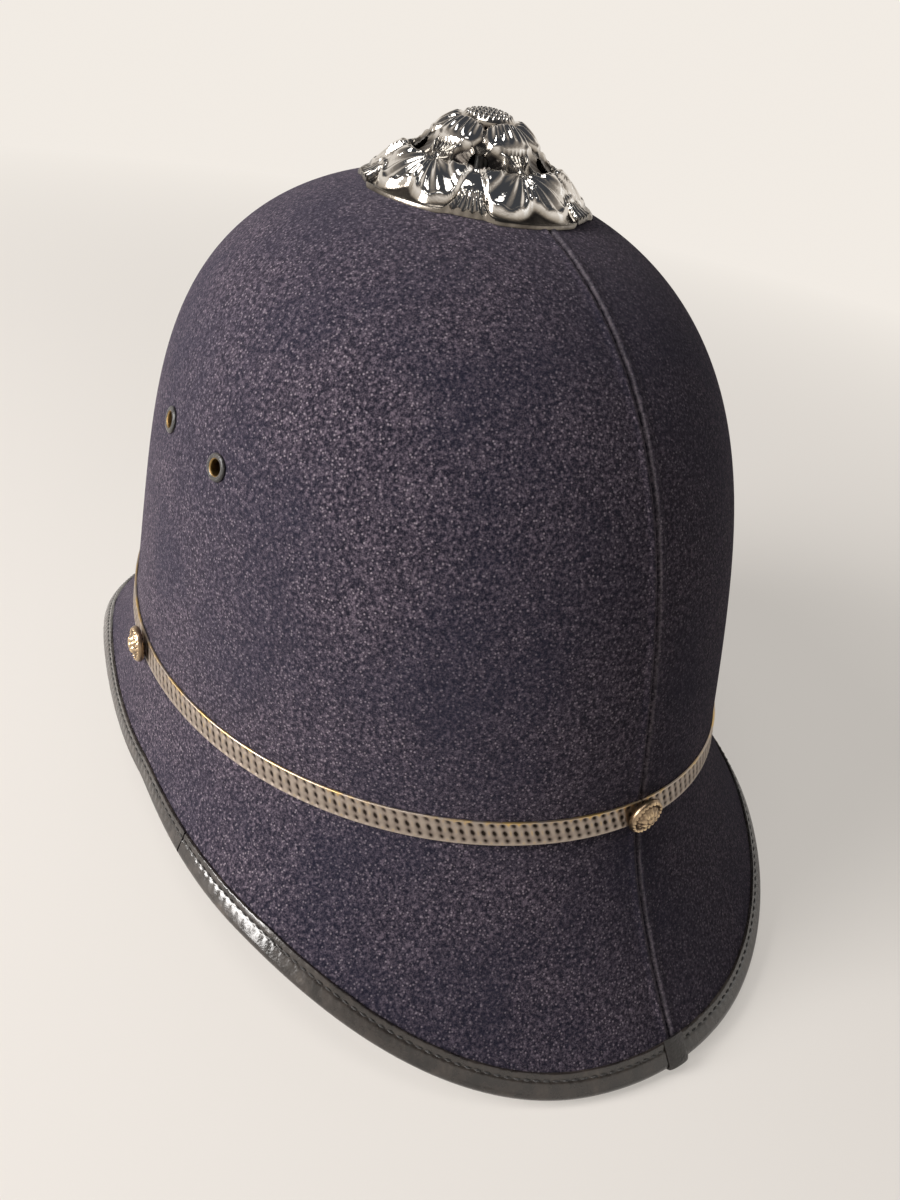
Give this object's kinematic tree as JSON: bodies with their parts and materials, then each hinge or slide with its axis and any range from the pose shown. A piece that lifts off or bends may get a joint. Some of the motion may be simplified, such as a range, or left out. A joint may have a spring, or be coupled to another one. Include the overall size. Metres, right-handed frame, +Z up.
{
  "type": "custodian police helmet",
  "caption": "Tall cork police helmet covered in cloth, with long front and rear brim, metal band, pierced rose finial, side vents, head fitting and folding chin strap.",
  "frame": {"origin": "middle of the outline, on the table that the brim's binding rests on", "axes": "+Z up, -Y towards the front, +X to the wearer's left; X is the axis of left and right symmetry"},
  "size_m": [0.2196, 0.3318, 0.2377],
  "materials": {
    "cork": "laminated cork, matt",
    "cloth": "dark navy felted wool with a short nap",
    "lining": "thin black leathercloth, satin",
    "binding": "black patent leather, stitched, glossy",
    "band_metal": "worn nickel over brass, embossed",
    "boss_brass": "aged brass",
    "plain_steel": "plain plated steel",
    "eyelet_metal": "black japanned brass, worn inside",
    "rose_chrome": "bright chrome plate",
    "sweat_leather": "tan leather, satin",
    "hoop_board": "bent cane board",
    "felt": "grey felt",
    "lace": "black woven lace",
    "strap_leather": "black leather, satin"
  },
  "bodies": {
    "helmet": {"cork_shell": "cork", "cover_panel_left": "cloth", "cover_panel_right": "cloth", "under_brim_lining": "lining", "binding_front": "binding", "binding_rear_left": "binding", "binding_rear_right": "binding", "binding_wrap": "binding", "hat_band": "band_metal", "rear_boss": "boss_brass", "left_boss": "boss_brass", "right_boss": "boss_brass", "boss_washers": "plain_steel", "vent_eyelets_left": "eyelet_metal", "vent_eyelets_right": "eyelet_metal", "eyelet_washers": "plain_steel", "vent_collar": "plain_steel", "vent_bridge": "plain_steel", "rose_finial": "rose_chrome", "rose_button": "rose_chrome", "finial_stud": "plain_steel", "finial_washer": "plain_steel", "finial_nut": "plain_steel", "sweatband": "sweat_leather", "headband_hoop": "hoop_board", "spacer_blocks": "felt", "crown_tongues": "sweat_leather", "crown_lace": "lace", "strap_pivot_left": "plain_steel", "strap_pivot_right": "plain_steel", "strap_rivets": "plain_steel"},
    "chin_strap": {"chin_strap_long": "strap_leather", "chin_strap_short": "strap_leather", "buckle_frame": "boss_brass", "strap_keeper": "strap_leather"},
    "prong": {"buckle_prong": "boss_brass"}
  },
  "joints": [
    {"name": "chin_strap_swing", "type": "hinge", "parent": "helmet", "child": "chin_strap", "pos_m": [0, 0, 0.047], "axis": [1, 0, 0], "range_deg": [0, 100]},
    {"name": "prong_swing", "type": "hinge", "parent": "chin_strap", "child": "prong", "pos_m": [0.05464, -0.07431, 0.047], "axis": [0, 0, 1], "range_deg": [0, 90]}
  ]
}
